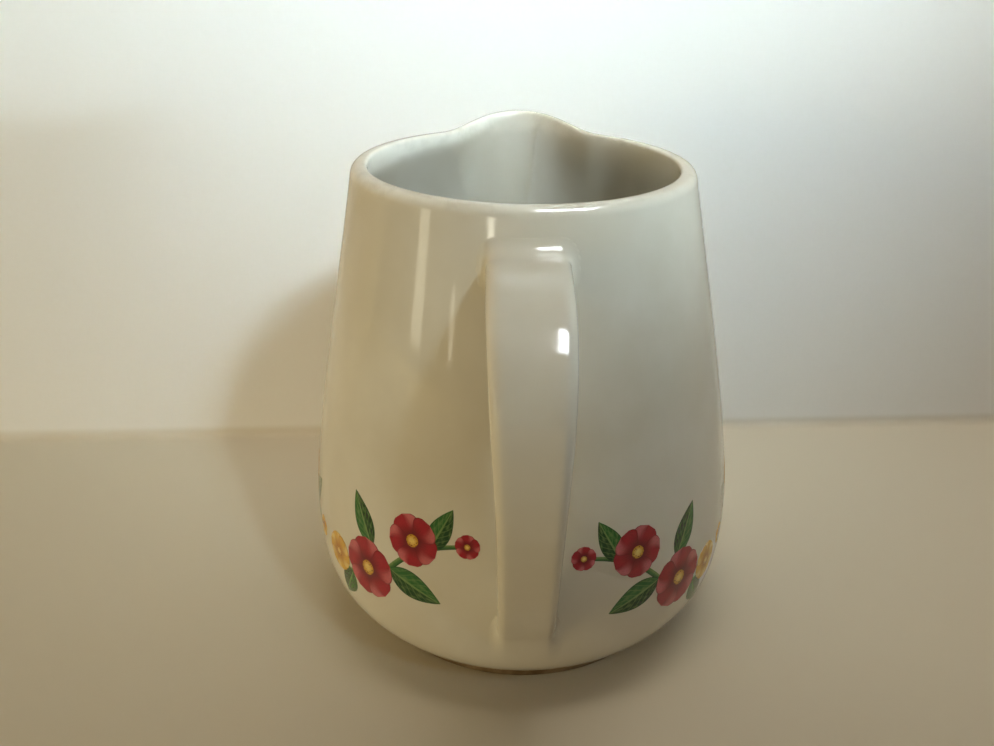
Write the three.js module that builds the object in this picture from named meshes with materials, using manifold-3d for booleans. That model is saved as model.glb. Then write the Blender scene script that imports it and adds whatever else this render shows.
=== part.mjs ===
// Creamer: a slip-cast jug with a pinched pouring lip, a strap handle stuck on with slip,
// a bare foot ring and fired-on flower transfers round the belly.
// Millimetres, +Z up. The handle points to -Y and the lip to +Y.
import * as THREE from "three";
import { mergeVertices } from "three/addons/utils/BufferGeometryUtils.js";
import Module from "manifold-3d";

const wasm = await Module();
wasm.setup();

// Bowl: the outside is two cubic curves that meet at the belly, where they stand upright.
const RIM_HEIGHT = 92;
const RIM_RADIUS = 31.3;
const BELLY_RADIUS = 42;
const BELLY_HEIGHT = 23.5;
const NECK_SLOPE = 0.19; // radius gained for each millimetre down from the rim
const NECK_EASE = 26; // height over which the neck stays a cone
const BELLY_EASE_UP = 15.7;
const BELLY_EASE_DOWN = 11.9;
const BASE_FLARE = 7.5; // how far the curve runs out from the foot before it turns up
const BASE_FLARE_SLOPE = 0.75;
const WALL = 3.3;
const FLOOR = 3.4;
const RIM_EDGE = 1.9; // rounding of the rim's outer edge
const RIM_EDGE_INSIDE = 0.8;

// Pouring lip: a rounded V pushed out of the rim, which fades down the wall.
const LIP_REACH = 11.5;
const LIP_RISE = 2;
const LIP_DEPTH = 36;
const LIP_HALF_ANGLE = THREE.MathUtils.degToRad(32.9);
const LIP_TIP = 0.58; // roundness of the V's point, as a share of its half angle
const RIM_LIFT = 1; // rise of the rim from the handle's side to the lip's
const RIM_TILT = 0.5; // and towards -X, as the rim sank unevenly in the kiln

// Foot ring: the bare clay that stands on the table.
const FOOT_RADIUS = 31.2;
const FOOT_WIDTH = 3.4;
const FOOT_HEIGHT = 1.6;
const FOOT_EDGE = 0.5;

// Handle: a strap that leaves the neck level, turns down and lands on the belly.
const HANDLE_REACH = 60; // outer face, from the bowl's axis
const ARM_DROP = 6.6; // from the rim to the arm's upper face
const KNEE_DROP = 27; // from the rim to where the strap points straight down
const LANDING_DROP = 13.5; // from the belly to where the strap's centre line ends
const LANDING_DEPTH = 4.5; // how far inside the wall that end lies
const ARM_EASE = 20;
const KNEE_EASE = 12;
const STRAP_EASE = 20;
const LANDING_EASE = 18;
const LANDING_OUT = 7; // how far off the wall the strap is when it starts to land
const STRAP_WIDTH_TOP = 13.2;
const STRAP_WIDTH_FOOT = 10;
const TAPER_START = 0.13; // shares of the strap's length between which it narrows
const TAPER_END = 0.64;
const STRAP_THICKNESS = 5.6;
const STRAP_THICKNESS_FOOT = 4.6;
const STRAP_SQUARENESS = 3.2; // exponent of the section's rounded oblong

// Slip that sticks the handle on: a pad under each end, with a fillet round it.
const SLIP_PAD = 1; // from the wall to the handle's end
const SLIP_FILLET = 2.4; // above and below the arm
const SLIP_FILLET_SIDE = 1.2;
const FIT_GAP = 0.3; // between pieces that touch

// Transfers: thin enamel prints, fired onto the glaze.
const TRANSFER_THICKNESS = 0.25;
const BAND_BELOW = 15.5; // the belt of wall that prints can lie on, from the belly
const BAND_ABOVE = 30.5;
const PRINT_REACH = 0.05; // depth of the cutting prisms outside the belly, as a share of its radius
const PRINT_DEPTH = 0.14; // and inside it
const STEPS_ROUND = 240; // steps round the belly, of the grid that the sprigs are drawn on
const SPRIG_STEP = (2 * Math.PI * BELLY_RADIUS) / STEPS_ROUND;
const STEM_WIDTH = 1.1;
const LEAF_TUCK = 1.3; // how far a leaf reaches under its stem

// How finely round shapes are divided.
const BOWL_SEGMENTS = 72;
const CURVE_STEPS = 8;
const EDGE_STEPS = 2;
const STRAP_STEPS = 30;
const STRAP_SIDES = 18;
const PRINT_STEPS = 4;

const GLAZE = { color: 0xdfd8c6, roughness: 0.1, metalness: 0 };
const BARE_CLAY = { color: 0xd8cfbb, roughness: 0.85, metalness: 0 };
const ENAMEL = {
  rose: { color: 0x9c2f36, roughness: 0.25, metalness: 0 },
  buttercup: { color: 0xc8a03c, roughness: 0.25, metalness: 0 },
  bud: { color: 0xc4707c, roughness: 0.25, metalness: 0 },
};

// Solids

// A closed geometry as a solid that can be joined and cut.
function solidFrom(geometry) {
  const bare = geometry.index ? geometry.toNonIndexed() : geometry.clone();
  bare.deleteAttribute("normal");
  bare.deleteAttribute("uv");
  const merged = mergeVertices(bare, 1e-4);
  const corners = [];
  for (let i = 0; i < merged.index.count; i += 3) {
    const [a, b, c] = [0, 1, 2].map((k) => merged.index.getX(i + k));
    if (a !== b && b !== c && c !== a) corners.push(a, b, c);
  }
  return new wasm.Manifold(
    new wasm.Mesh({
      numProp: 3,
      vertProperties: merged.attributes.position.array,
      triVerts: new Uint32Array(corners),
    }),
  );
}

// A solid as a geometry with its vertices and triangles.
function geometryFrom(solid) {
  const mesh = solid.getMesh();
  const positions = new THREE.BufferAttribute(mesh.vertProperties, mesh.numProp);
  const geometry = new THREE.BufferGeometry();
  geometry.setAttribute("position", positions);
  geometry.setIndex(new THREE.BufferAttribute(mesh.triVerts, 1));
  geometry.computeVertexNormals();
  return geometry;
}

// A named piece of the creamer.
function piece(name, geometry, finish) {
  const mesh = new THREE.Mesh(geometry, new THREE.MeshStandardMaterial(finish));
  mesh.name = name;
  return mesh;
}

// A profile of (radius, height) points turned round the bowl's axis, seam towards the handle.
function turned(profile) {
  return new THREE.LatheGeometry(profile, BOWL_SEGMENTS).rotateX(Math.PI / 2);
}

// Bowl

// Outside of the wall from the foot up to the rim's rounded edge, as two curves of (radius, height).
function wallCurves() {
  const base = new THREE.Vector2(FOOT_RADIUS, FOOT_HEIGHT + FIT_GAP);
  const flare = new THREE.Vector2(BASE_FLARE, BASE_FLARE * BASE_FLARE_SLOPE);
  const belly = new THREE.Vector2(BELLY_RADIUS, BELLY_HEIGHT);
  const rim = new THREE.Vector2(RIM_RADIUS, RIM_HEIGHT - RIM_EDGE);
  const cone = new THREE.Vector2(NECK_SLOPE, -1).multiplyScalar(NECK_EASE);
  return [
    new THREE.CubicBezierCurve(
      base,
      base.clone().add(flare),
      new THREE.Vector2(BELLY_RADIUS, BELLY_HEIGHT - BELLY_EASE_DOWN),
      belly,
    ),
    new THREE.CubicBezierCurve(
      belly,
      new THREE.Vector2(BELLY_RADIUS, BELLY_HEIGHT + BELLY_EASE_UP),
      rim.clone().add(cone),
      rim,
    ),
  ];
}

// Points of the wall's outside, moved outwards by an offset along the wall's own normal.
function wallPoints(offset) {
  return wallCurves().flatMap((curve, part) => {
    const points = [];
    for (let i = part; i <= CURVE_STEPS; i++) {
      const along = curve.getTangent(i / CURVE_STEPS);
      const outward = new THREE.Vector2(along.y, -along.x);
      points.push(curve.getPoint(i / CURVE_STEPS).addScaledVector(outward, offset));
    }
    return points;
  });
}

// Radius of the wall's outside at a height.
function wallRadius(height) {
  const points = wallPoints(0);
  const above = Math.max(1, points.findIndex((p) => p.y >= height));
  const [low, high] = [points[above - 1], points[above]];
  return THREE.MathUtils.mapLinear(height, low.y, high.y, low.x, high.x);
}

// The rim's rounded top, from its outer edge over to its inner edge.
function rimPoints(inner) {
  const points = [];
  for (const [centre, edge, start] of [
    [RIM_RADIUS - RIM_EDGE, RIM_EDGE, 0],
    [inner + RIM_EDGE_INSIDE, RIM_EDGE_INSIDE, Math.PI / 2],
  ]) {
    for (let i = 1; i <= EDGE_STEPS; i++) {
      const angle = start + (Math.PI / 2) * (i / (EDGE_STEPS + 1));
      points.push(
        new THREE.Vector2(
          centre + edge * Math.cos(angle),
          RIM_HEIGHT - edge + edge * Math.sin(angle),
        ),
      );
    }
  }
  return points;
}

// Share of the lip's full reach at a distance round from its middle.
function lipShare(angle) {
  const across = Math.abs(angle) / LIP_HALF_ANGLE;
  if (across >= 1) return 0;
  const roundedV = (x) => Math.hypot(x, LIP_TIP) - LIP_TIP;
  return (1 - roundedV(across) / roundedV(1)) ** 2;
}

// Height that the rim gains at an angle from the lip's middle, apart from the lip.
function rimLift(angle) {
  return (RIM_LIFT * (1 + Math.cos(angle))) / 2 - RIM_TILT * Math.sin(angle);
}

// Pushes the lip out of a bowl that has been turned round.
function pinchLip(geometry) {
  const position = geometry.getAttribute("position");
  const point = new THREE.Vector3();
  for (let i = 0; i < position.count; i++) {
    point.fromBufferAttribute(position, i);
    const angle = Math.atan2(point.x, point.y);
    const share = lipShare(angle);
    const up = THREE.MathUtils.clamp((point.z - RIM_HEIGHT + LIP_DEPTH) / LIP_DEPTH, 0, 1);
    const radius = Math.hypot(point.x, point.y);
    const moved = radius + LIP_REACH * share * up ** 2;
    const grow = radius > 0 ? moved / radius : 1;
    const height = point.z + (LIP_RISE * share + rimLift(angle)) * up ** 3;
    position.setXYZ(i, point.x * grow, point.y * grow, height);
  }
  return geometry;
}

// Bowl with its wall, floor, rim and lip.
function bowl() {
  const underside = FOOT_HEIGHT + FIT_GAP;
  const floor = underside + FLOOR;
  const outside = wallPoints(0);
  const inside = wallPoints(-WALL)
    .filter((p) => p.y > floor)
    .reverse();
  const profile = [
    new THREE.Vector2(0, underside),
    ...outside,
    ...rimPoints(inside[0].x),
    ...inside,
    new THREE.Vector2(inside.at(-1).x - WALL, floor),
    new THREE.Vector2(0, floor),
  ];
  return pinchLip(turned(profile));
}

// The space inside the wall's outer face grown by a clearance, for cutting what meets the wall.
function bowlSpace(clearance) {
  const outside = wallPoints(clearance);
  const top = outside.at(-1).y;
  const profile = [new THREE.Vector2(0, outside[0].y), ...outside, new THREE.Vector2(0, top)];
  return solidFrom(turned(profile));
}

// Foot

// Bare ring under the bowl, with its standing edges eased.
function footRing() {
  const inner = FOOT_RADIUS - FOOT_WIDTH;
  const profile = [
    new THREE.Vector2(inner, FOOT_EDGE),
    new THREE.Vector2(inner + FOOT_EDGE, 0),
    new THREE.Vector2(FOOT_RADIUS - FOOT_EDGE, 0),
    new THREE.Vector2(FOOT_RADIUS, FOOT_EDGE),
    new THREE.Vector2(FOOT_RADIUS, FOOT_HEIGHT),
    new THREE.Vector2(inner, FOOT_HEIGHT),
  ];
  return turned([...profile, profile[0]]);
}

// Handle

// A point of the handle's side view: distance out from the bowl's axis, and height.
const sidePoint = (out, height) => new THREE.Vector3(0, -out, height);

// Centre line of the strap, from inside the neck's wall to inside the belly's.
function strapCurve() {
  const arm = RIM_HEIGHT - ARM_DROP - STRAP_THICKNESS / 2;
  const armStart = wallRadius(arm) - WALL / 2;
  const knee = RIM_HEIGHT - KNEE_DROP;
  const kneeOut = HANDLE_REACH - STRAP_THICKNESS / 2;
  const landing = BELLY_HEIGHT - LANDING_DROP;
  const landingOut = wallRadius(landing);
  const path = new THREE.CurvePath();
  path.add(
    new THREE.CubicBezierCurve3(
      sidePoint(armStart, arm),
      sidePoint(armStart + ARM_EASE, arm),
      sidePoint(kneeOut, knee + KNEE_EASE),
      sidePoint(kneeOut, knee),
    ),
  );
  path.add(
    new THREE.CubicBezierCurve3(
      sidePoint(kneeOut, knee),
      sidePoint(kneeOut, knee - STRAP_EASE),
      sidePoint(landingOut + LANDING_OUT, landing + LANDING_EASE),
      sidePoint(landingOut - LANDING_DEPTH, landing),
    ),
  );
  return path;
}

// Half width and half thickness of the strap at a share of its length.
function strapSection(share) {
  const taper = THREE.MathUtils.smoothstep(share, TAPER_START, TAPER_END);
  return [
    THREE.MathUtils.lerp(STRAP_WIDTH_TOP, STRAP_WIDTH_FOOT, taper) / 2,
    THREE.MathUtils.lerp(STRAP_THICKNESS, STRAP_THICKNESS_FOOT, taper) / 2,
  ];
}

// A solid skin over rounded oblong sections along the strap's centre line.
// The section function gives a half width and a half thickness at a share of the length.
function strapLoft(section, from = 0, to = 1) {
  const curve = strapCurve();
  const across = new THREE.Vector3(1, 0, 0);
  const corners = [];
  const triangles = [];
  const steps = Math.max(2, Math.round(STRAP_STEPS * (to - from)));
  const rounded = (x) => Math.sign(x) * Math.abs(x) ** (2 / STRAP_SQUARENESS);
  for (let i = 0; i <= steps; i++) {
    const share = THREE.MathUtils.lerp(from, to, i / steps);
    const centre = curve.getPointAt(share);
    const outward = curve.getTangentAt(share).cross(across);
    const [halfWidth, halfThickness] = section(share);
    for (let k = 0; k < STRAP_SIDES; k++) {
      const turn = (2 * Math.PI * k) / STRAP_SIDES;
      corners.push(
        centre
          .clone()
          .addScaledVector(across, halfWidth * rounded(Math.cos(turn)))
          .addScaledVector(outward, halfThickness * rounded(Math.sin(turn))),
      );
    }
  }
  const at = (ring, side) => ring * STRAP_SIDES + (side % STRAP_SIDES);
  for (let i = 0; i < steps; i++) {
    for (let k = 0; k < STRAP_SIDES; k++) {
      triangles.push(at(i, k), at(i, k + 1), at(i + 1, k + 1));
      triangles.push(at(i, k), at(i + 1, k + 1), at(i + 1, k));
    }
  }
  for (let k = 1; k < STRAP_SIDES - 1; k++) {
    triangles.push(at(0, 0), at(0, k + 1), at(0, k));
    triangles.push(at(steps, 0), at(steps, k), at(steps, k + 1));
  }
  const geometry = new THREE.BufferGeometry().setFromPoints(corners);
  geometry.setIndex(triangles);
  return solidFrom(geometry);
}

// The strap with both ends trimmed to stand off the wall by a distance.
function trimmedStrap(growth, standOff) {
  const grown = (share) => strapSection(share).map((half) => half + growth);
  return strapLoft(grown).subtract(bowlSpace(standOff));
}

// Slip round the arm where it meets the neck: a pad, and a fillet that flares towards the wall.
function upperSlip() {
  const length = strapCurve().getLength();
  const flareEnd = (WALL / 2 + SLIP_FILLET) / length;
  const flared = (share) => {
    const near = THREE.MathUtils.clamp((share * length - WALL / 2) / SLIP_FILLET, 0, 1);
    const flare = 1 - Math.sqrt(1 - (1 - near) ** 2);
    const [halfWidth, halfThickness] = strapSection(share);
    return [
      halfWidth + FIT_GAP + SLIP_FILLET_SIDE * (0.3 + 0.7 * flare),
      halfThickness + FIT_GAP + SLIP_FILLET * (0.15 + 0.85 * flare),
    ];
  };
  return strapLoft(flared, 0, flareEnd)
    .subtract(bowlSpace(FIT_GAP))
    .subtract(trimmedStrap(FIT_GAP, SLIP_PAD - FIT_GAP));
}

// Slip under the strap's landing on the belly: a long pad, wider than the strap on both sides.
function lowerSlip() {
  const landing = 0.5;
  const widened = (share) => {
    const [halfWidth, halfThickness] = strapSection(share);
    return [halfWidth + SLIP_FILLET_SIDE, halfThickness];
  };
  return strapLoft(widened, landing, 1)
    .intersect(bowlSpace(SLIP_PAD + SLIP_FILLET_SIDE / 2))
    .subtract(bowlSpace(FIT_GAP))
    .subtract(trimmedStrap(FIT_GAP, SLIP_PAD - FIT_GAP));
}

// Transfers

// A leaf with its stalk end and its tip given, and its full width.
function leaf(x0, y0, x1, y1, width) {
  const along = new THREE.Vector2(x1 - x0, y1 - y0).normalize();
  const stalk = new THREE.Vector2(x0, y0).addScaledVector(along, -LEAF_TUCK / SPRIG_STEP);
  const middle = new THREE.Vector2((x0 + x1) / 2, (y0 + y1) / 2);
  const side = new THREE.Vector2(-along.y, along.x).multiplyScalar(width);
  const shape = new THREE.Shape();
  shape.moveTo(stalk.x, stalk.y);
  shape.quadraticCurveTo(middle.x - side.x, middle.y - side.y, x1, y1);
  shape.quadraticCurveTo(middle.x + side.x, middle.y + side.y, stalk.x, stalk.y);
  return shape;
}

// An open flower of round petals.
function blossom(x, y, radius, petals) {
  const notch = 0.16; // depth of the dips between petals, as a share of the radius
  const steps = petals * PRINT_STEPS;
  const points = [];
  for (let i = 0; i < steps; i++) {
    const turn = (2 * Math.PI * i) / steps;
    const reach = radius * (1 - notch + notch * Math.cos(petals * turn));
    points.push(new THREE.Vector2(x + reach * Math.sin(turn), y + reach * Math.cos(turn)));
  }
  return new THREE.Shape(points);
}

// A stem of even width along a curve through two ends and a control point.
function stem(x0, y0, cx, cy, x1, y1) {
  const curve = new THREE.QuadraticBezierCurve(
    new THREE.Vector2(x0, y0),
    new THREE.Vector2(cx, cy),
    new THREE.Vector2(x1, y1),
  );
  const edge = (side) =>
    [...Array(PRINT_STEPS + 1).keys()].map((i) => {
      const along = curve.getTangent(i / PRINT_STEPS);
      const out = new THREE.Vector2(along.y, -along.x);
      const half = (side * STEM_WIDTH) / SPRIG_STEP / 2;
      return curve.getPoint(i / PRINT_STEPS).addScaledVector(out, half);
    });
  return new THREE.Shape([...edge(1), ...edge(-1).reverse()]);
}

// The three printed sprigs: steps right and up from the middle of a print.
const SPRIGS = {
  rose: [
    stem(-14, -6, -5, -9, 2, 0),
    stem(0.5, -2, 6, 5, 14, 6),
    blossom(-4, -3.5, 5.6, 5),
    blossom(5.5, 5.2, 4.6, 5),
    blossom(-13, -5, 3.6, 6),
    leaf(1, -1.4, 10.5, -5, 4.8),
    leaf(-8.5, -6.8, -12, -13, 4.2),
    leaf(-3, 1, -7.5, 9.5, 4.4),
    leaf(8.5, 4.3, 12.5, 12, 3.8),
    blossom(15, 6.2, 2.1, 5),
  ],
  buttercup: [
    stem(-13, 4.5, -2, 6.5, 2, -2),
    stem(1, 0, 6, -6.5, 14, -6.5),
    blossom(2.8, -1, 5.6, 6),
    blossom(-10.5, 5, 3.4, 6),
    leaf(-5.8, 4.6, -3.8, 12.5, 4.2),
    leaf(6.8, -4.8, 13, 2, 4),
    leaf(-0.4, 1.4, -9.8, -4.5, 4.4),
    blossom(14.6, -6.5, 2, 5),
  ],
  bud: [
    stem(-12, -4.4, 0, 6.6, 12, -3.4),
    blossom(0, 1.8, 4.2, 5),
    blossom(-12, -4.6, 2.4, 5),
    blossom(12.2, -3.8, 2.4, 5),
    leaf(-4.8, 0.3, -8.2, 7.4, 3.8),
    leaf(4.8, 0.7, 8.8, 7.4, 3.8),
  ],
};

// Each print's node and sprig, its angle round the bowl from the handle,
// its steps above the belly, and the way it faces.
const TRANSFERS = [
  ["rose_transfer_left", "rose", -36.5, 5.5, 1],
  ["rose_transfer_right", "rose", 36, 3.5, -1],
  ["buttercup_transfer_left", "buttercup", -90, 7.5, 1],
  ["buttercup_transfer_right", "buttercup", 88, 6.5, -1],
  ["bud_transfer_left", "bud", -135, 3.5, 1],
  ["bud_transfer_right", "bud", 134, 4.5, -1],
];

// The thin skin just off the wall that the prints are cut from.
function transferSkin() {
  const inBand = (p) => p.y > BELLY_HEIGHT - BAND_BELOW && p.y < BELLY_HEIGHT + BAND_ABOVE;
  const inner = wallPoints(FIT_GAP).filter(inBand);
  const outer = wallPoints(FIT_GAP + TRANSFER_THICKNESS).filter(inBand);
  return solidFrom(turned([...outer, ...inner.reverse(), outer[0]]));
}

// A sprig's outline as a prism wrapped round the bowl, deep enough to cross the skin.
function wrappedPrism(shape, azimuth, rise) {
  const geometry = new THREE.ExtrudeGeometry(shape, {
    depth: BELLY_RADIUS * (PRINT_REACH + PRINT_DEPTH),
    bevelEnabled: false,
    curveSegments: PRINT_STEPS,
  });
  const position = geometry.getAttribute("position");
  for (let i = 0; i < position.count; i++) {
    const aside = (position.getX(i) * 2 * Math.PI) / STEPS_ROUND;
    const turn = THREE.MathUtils.degToRad(azimuth) + aside;
    const radius = BELLY_RADIUS * (1 - PRINT_DEPTH) + position.getZ(i);
    const height = BELLY_HEIGHT + (rise + position.getY(i)) * SPRIG_STEP;
    position.setXYZ(i, radius * Math.sin(turn), -radius * Math.cos(turn), height);
  }
  return solidFrom(geometry);
}

// A shape with its left and right exchanged where a print faces the other way.
function facing(shape, direction) {
  if (direction > 0) return shape;
  const points = shape.getPoints(PRINT_STEPS).map((p) => new THREE.Vector2(-p.x, p.y));
  return new THREE.Shape(points.reverse());
}

// One print, joined from its stems, leaves and flowers.
function transfer(sprig, azimuth, rise, direction, skin) {
  const prisms = SPRIGS[sprig].map((shape) => wrappedPrism(facing(shape, direction), azimuth, rise));
  const joined = prisms.reduce((all, prism) => all.add(prism));
  return geometryFrom(joined.intersect(skin));
}

// Assembly: the box of the whole piece is centred over the origin, on the table.
const creamer = new THREE.Group();
creamer.position.y = (HANDLE_REACH - BELLY_RADIUS) / 2;
creamer.add(piece("body", bowl(), GLAZE));
creamer.add(piece("handle", geometryFrom(trimmedStrap(0, SLIP_PAD)), GLAZE));
creamer.add(piece("upper_slip_joint", geometryFrom(upperSlip()), GLAZE));
creamer.add(piece("lower_slip_joint", geometryFrom(lowerSlip()), GLAZE));
creamer.add(piece("foot_ring", footRing(), BARE_CLAY));
const skin = transferSkin();
for (const [name, sprig, azimuth, rise, direction] of TRANSFERS) {
  creamer.add(piece(name, transfer(sprig, azimuth, rise, direction, skin), ENAMEL[sprig]));
}

export default creamer;
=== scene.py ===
"""Dresses the creamer: a glazed bowl, a strap handle, a bare foot and printed flower sprays.

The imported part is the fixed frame. Lengths are in metres, in the part's own frame: +Z is up, the handle
points to -Y and the pouring lip to +Y.
"""

from __future__ import annotations

import logging
import math
from collections.abc import Callable
from dataclasses import dataclass
from enum import Enum
from itertools import pairwise

import bmesh
import bpy
from mathutils import Euler, Matrix, Vector
from mathutils.bvhtree import BVHTree
from mathutils.geometry import interpolate_bezier

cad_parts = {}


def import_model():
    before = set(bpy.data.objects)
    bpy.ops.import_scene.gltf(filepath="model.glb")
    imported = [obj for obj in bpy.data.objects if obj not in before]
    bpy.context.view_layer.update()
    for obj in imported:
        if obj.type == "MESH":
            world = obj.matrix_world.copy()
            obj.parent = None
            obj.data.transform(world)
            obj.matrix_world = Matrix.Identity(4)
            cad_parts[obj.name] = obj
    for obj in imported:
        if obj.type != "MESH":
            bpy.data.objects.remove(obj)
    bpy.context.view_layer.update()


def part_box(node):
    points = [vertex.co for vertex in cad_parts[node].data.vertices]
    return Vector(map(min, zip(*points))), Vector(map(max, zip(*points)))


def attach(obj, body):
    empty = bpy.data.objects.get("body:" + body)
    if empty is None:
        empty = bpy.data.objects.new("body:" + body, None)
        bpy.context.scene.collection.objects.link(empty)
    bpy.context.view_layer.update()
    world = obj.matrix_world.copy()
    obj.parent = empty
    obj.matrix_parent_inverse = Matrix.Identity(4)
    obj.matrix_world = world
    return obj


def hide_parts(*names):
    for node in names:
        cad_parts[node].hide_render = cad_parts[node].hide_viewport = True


MM = 0.001
TOLERANCE = 0.01 * MM
IMAGE_WIDTH = 994
SENSOR_WIDTH = 36.0
GLAZE_IOR = 1.52
MIX_INPUTS = ("Factor_Float", "A_Color", "B_Color")

Pair = tuple[float, float]
Triple = tuple[float, float, float]
Colour = tuple[float, float, float, float]
Piece = bpy.types.Object
Socket = bpy.types.NodeSocket
log = logging.getLogger("creamer")


def srgb(red: int, green: int, blue: int) -> Colour:
    """A colour as the shader reads it, from the values that a picture shows.

    Args:
        red: The red channel, from 0 to 255.
        green: The green channel, from 0 to 255.
        blue: The blue channel, from 0 to 255.

    Returns:
        The linear colour, opaque.
    """

    def linear(value: int) -> float:
        """One channel, made linear."""
        share = value / 255
        return share / 12.92 if share <= 0.04045 else ((share + 0.055) / 1.055) ** 2.4

    return linear(red), linear(green), linear(blue), 1.0


def lerp(low: float, high: float, share: float) -> float:
    """The value at a share of the way from low to high."""
    return low + (high - low) * share


def smoothstep(value: float, low: float, high: float) -> float:
    """0 below low, 1 above high, and an eased step between them."""
    share = min(1.0, max(0.0, (value - low) / (high - low)))
    return share * share * (3 - 2 * share)


def evenly(points: list[Vector], steps: int) -> list[Vector]:
    """Points at even distances along a line of points.

    Args:
        points: The line.
        steps: How many parts it is divided into.

    Returns:
        One point more than there are steps.
    """
    lengths = [0.0]
    for before, after in pairwise(points):
        lengths.append(lengths[-1] + (after - before).length)
    even = []
    index = 0
    for step in range(steps + 1):
        target = lengths[-1] * step / steps
        while index < len(points) - 2 and lengths[index + 1] < target:
            index += 1
        share = (target - lengths[index]) / (lengths[index + 1] - lengths[index])
        even.append(points[index].lerp(points[index + 1], min(1.0, share)))
    return even


# Modelling by operators


class Bench:
    """The operator steps that the pieces share."""

    MERGE_DISTANCE = 0.001 * MM
    LEAST_TURN = 1e-9

    @staticmethod
    def start(name: str, primitive: Callable[..., object], **settings: object) -> Piece:
        """Adds a primitive with nothing else selected.

        Args:
            name: The name of the new object.
            primitive: The operator that adds it.
            settings: The operator's own settings.

        Returns:
            The new object, at the origin, with its place in its mesh.
        """
        bpy.ops.object.select_all(action="DESELECT")
        primitive(**settings)
        made = bpy.context.object
        made.name = name
        made.data.name = name
        bpy.ops.object.transform_apply(location=True, rotation=True, scale=True)
        return made

    @staticmethod
    def only(made: Piece) -> None:
        """Leaves one object selected and active.

        Args:
            made: The object.
        """
        bpy.ops.object.select_all(action="DESELECT")
        made.select_set(True)
        bpy.context.view_layer.objects.active = made

    @staticmethod
    def edit(made: Piece) -> None:
        """Opens one object in edit mode, with all of it selected.

        Args:
            made: The object.
        """
        Bench.only(made)
        bpy.ops.object.mode_set(mode="EDIT")
        bpy.ops.mesh.select_all(action="SELECT")

    @staticmethod
    def done() -> None:
        """Leaves edit mode."""
        bpy.ops.object.mode_set(mode="OBJECT")

    @staticmethod
    def pick(made: Piece, wanted: Callable[[bmesh.types.BMVert], bool]) -> None:
        """Selects the vertices that pass a test, and the edges and faces between them.

        Args:
            made: The object, which is in edit mode.
            wanted: The test of a vertex.
        """
        bpy.ops.mesh.select_mode(type="VERT")
        bpy.ops.mesh.select_all(action="DESELECT")
        mesh = bmesh.from_edit_mesh(made.data)
        for vertex in mesh.verts:
            vertex.select_set(wanted(vertex))
        mesh.select_flush(True)
        bmesh.update_edit_mesh(made.data)

    @staticmethod
    def turn(axis: str, angle: float, centre: Vector) -> None:
        """Turns the selection about an axis, by the right-hand rule.

        Args:
            axis: The letter of the axis.
            angle: The turn, in radians.
            centre: The point that stays in place.
        """
        if abs(angle) > Bench.LEAST_TURN:
            bpy.ops.transform.rotate(
                value=-angle,
                orient_axis=axis,
                orient_type="GLOBAL",
                center_override=centre,
            )

    @staticmethod
    def apply(made: Piece, kind: str, **settings: object) -> None:
        """Adds a modifier with its settings and applies it.

        Args:
            made: The object that gets it.
            kind: The modifier's type.
            settings: Its values by name.
        """
        Bench.only(made)
        modifier = made.modifiers.new(kind.lower(), kind)
        for key, value in settings.items():
            setattr(modifier, key, value)
        bpy.ops.object.modifier_apply(modifier=modifier.name)

    @staticmethod
    def face_out(made: Piece) -> None:
        """Merges doubles and turns every face outwards.

        Args:
            made: The object.
        """
        Bench.edit(made)
        bpy.ops.mesh.remove_doubles(threshold=Bench.MERGE_DISTANCE)
        bpy.ops.mesh.normals_make_consistent(inside=False)
        Bench.done()

    @staticmethod
    def smooth(made: Piece, degrees: float = 35.0) -> None:
        """Shades an object smooth, apart from edges sharper than an angle."""
        Bench.only(made)
        bpy.ops.object.shade_smooth_by_angle(angle=math.radians(degrees))

    @staticmethod
    def copy(made: Piece, matrix: Matrix) -> Piece:
        """Copies an object with a mesh of its own.

        Args:
            made: The object to copy.
            matrix: Where the copy's mesh goes.

        Returns:
            The copy.
        """
        Bench.only(made)
        bpy.ops.object.duplicate(linked=False)
        copied = bpy.context.object
        copied.data.transform(matrix)
        return copied

    @staticmethod
    def join(parts: list[Piece], name: str) -> Piece:
        """Joins objects into one.

        Args:
            parts: The objects, of which the first one is kept.
            name: The name of the whole.

        Returns:
            The whole.
        """
        bpy.ops.object.select_all(action="DESELECT")
        for part in parts:
            part.select_set(True)
        bpy.context.view_layer.objects.active = parts[0]
        bpy.ops.object.join()
        parts[0].name = name
        parts[0].data.name = name
        return parts[0]


def settle_piece(piece: Piece, slot: str, *nodes: str) -> None:
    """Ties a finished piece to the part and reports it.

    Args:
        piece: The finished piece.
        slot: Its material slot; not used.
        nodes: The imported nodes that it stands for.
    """
    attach(piece, "root")
    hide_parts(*nodes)
    log.info("%s: %d faces, for %s", piece.name, len(piece.data.polygons), ", ".join(nodes))


# Nodes


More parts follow.
